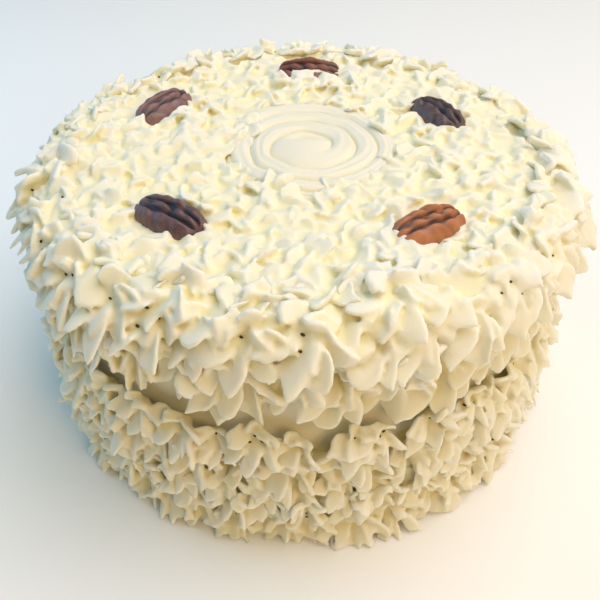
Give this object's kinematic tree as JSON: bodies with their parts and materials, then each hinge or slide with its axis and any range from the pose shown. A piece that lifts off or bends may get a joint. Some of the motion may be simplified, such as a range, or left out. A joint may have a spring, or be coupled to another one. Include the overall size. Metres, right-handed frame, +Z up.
{
  "type": "italian cream cake",
  "caption": "Round iced layer cake covered with piped flowers above and below a smooth waist, with a coiled rosette on top and pecan halves set in a ring round it.",
  "frame": {"origin": "middle of the flat foot, on the cake's axis", "axes": "+Z up along the cake's axis, -Y towards the viewer of the picture, +X to the viewer's right"},
  "size_m": [0.2512, 0.2515, 0.1294],
  "materials": {
    "icing": "soft satin cream icing, ivory",
    "pecan": "satin toasted nut, reddish brown"
  },
  "bodies": {
    "root": {"iced_cake": "icing", "rosette": "icing", "pecan_back": "pecan", "pecan_back_left": "pecan", "pecan_front_left": "pecan", "pecan_front_right": "pecan", "pecan_back_right": "pecan"}
  },
  "joints": []
}
